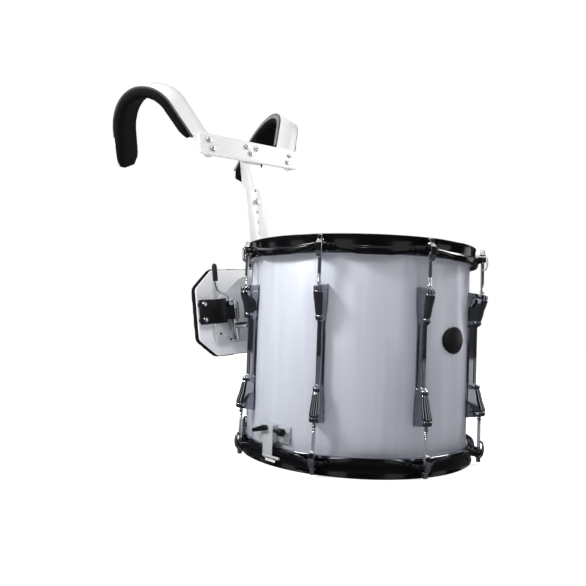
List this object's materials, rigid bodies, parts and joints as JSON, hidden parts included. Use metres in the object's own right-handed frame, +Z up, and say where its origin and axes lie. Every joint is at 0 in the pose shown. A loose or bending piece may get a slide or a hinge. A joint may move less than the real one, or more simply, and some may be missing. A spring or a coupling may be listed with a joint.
{
  "type": "marching snare drum on shoulder carrier",
  "caption": "Deep marching snare drum with black hoops and long chrome lugs, hooked on a white shoulder carrier with a padded belly plate.",
  "frame": {"origin": "on the ground, under the middle of the bounding box", "axes": "+Z up the drum, -Y to the badge at the drum's front, +Y towards the player, +X to the player's left"},
  "size_m": [0.4414, 0.6644, 0.6706],
  "materials": {
    "wrap": "silver-white glossy covering over a plywood shell",
    "hoop_black": "gloss black enamel on steel",
    "film": "coated white film",
    "chrome": "polished chrome plate",
    "carrier_white": "white powder coat on aluminium",
    "carrier_steel": "white powder coat on steel",
    "bracket_black": "satin black powder coat",
    "foam": "black foam under a close cloth",
    "grip_rubber": "matt black rubber",
    "black_plastic": "black plastic",
    "strap_metal": "pale bright steel"
  },
  "bodies": {
    "drum": {"shell": "wrap", "vent_grommet": "chrome", "badge": "black_plastic", "batter_head": "film", "snare_head": "film", "top_hoop": "hoop_black", "bottom_hoop": "hoop_black", "strainer_body": "chrome", "strainer_strap": "strap_metal", "butt_plate": "chrome", "butt_strap": "strap_metal", "snares": "strap_metal", "receiver_right": "chrome", "receiver_left": "chrome", "lug_1": "chrome", "tension_rod_top_1": "chrome", "tension_rod_bottom_1": "chrome", "lug_2": "chrome", "tension_rod_top_2": "chrome", "tension_rod_bottom_2": "chrome", "lug_3": "chrome", "tension_rod_top_3": "chrome", "tension_rod_bottom_3": "chrome", "lug_4": "chrome", "tension_rod_top_4": "chrome", "tension_rod_bottom_4": "chrome", "lug_5": "chrome", "tension_rod_top_5": "chrome", "tension_rod_bottom_5": "chrome", "lug_6": "chrome", "tension_rod_top_6": "chrome", "tension_rod_bottom_6": "chrome", "lug_7": "chrome", "tension_rod_top_7": "chrome", "tension_rod_bottom_7": "chrome", "lug_8": "chrome", "tension_rod_top_8": "chrome", "tension_rod_bottom_8": "chrome"},
    "throw_lever": {"strainer_lever": "black_plastic"},
    "snare_knob": {"tension_knob": "black_plastic"},
    "hangers": {"hanger_right": "chrome", "hanger_left": "chrome"},
    "vest": {"belly_plate": "carrier_white", "belly_foam": "foam", "mount_plate": "carrier_steel", "post": "carrier_white", "height_bolt": "chrome", "bracket_right": "bracket_black", "bracket_left": "bracket_black"},
    "shoulders": {"stem": "carrier_white", "yoke": "carrier_white", "shoulder_arm_right": "carrier_white", "shoulder_arm_left": "carrier_white", "shoulder_pad_right": "foam", "shoulder_pad_left": "foam"},
    "handle_right": {"clamp_handle_right": "chrome", "handle_grip_right": "grip_rubber"},
    "handle_left": {"clamp_handle_left": "chrome", "handle_grip_left": "grip_rubber"}
  },
  "joints": [
    {"name": "throw_lever_turn", "type": "hinge", "parent": "drum", "child": "throw_lever", "pos_m": [-0.17111, -0.13264, 0.0532], "axis": [0.9989, -0.0471, 0], "range_deg": [0, 80]},
    {"name": "snare_knob_turn", "type": "hinge", "parent": "drum", "child": "snare_knob", "pos_m": [-0.16598, -0.16192, 0.0502], "axis": [-0.0471, -0.9989, 0], "continuous": true},
    {"name": "hook_lift", "type": "slide", "parent": "drum", "child": "hangers", "axis": [-0.0882, 0.0924, 0.9918], "range_m": [-0.02, 0]},
    {"name": "hanger_height", "type": "slide", "parent": "hangers", "child": "vest", "axis": [-0.0882, 0.0924, 0.9918], "range_m": [-0.005, 0.008]},
    {"name": "shoulder_height", "type": "slide", "parent": "vest", "child": "shoulders", "axis": [-0.0882, 0.0924, 0.9918], "range_m": [-0.018, 0.018]},
    {"name": "handle_right_turn", "type": "hinge", "parent": "vest", "child": "handle_right", "pos_m": [-0.08983, 0.05803, 0.23494], "axis": [0, 0.9957, -0.0927], "range_deg": [-60, 15]},
    {"name": "handle_left_turn", "type": "hinge", "parent": "vest", "child": "handle_left", "pos_m": [0.12931, 0.05983, 0.25425], "axis": [0, 0.9957, -0.0927], "range_deg": [-15, 60]}
  ]
}
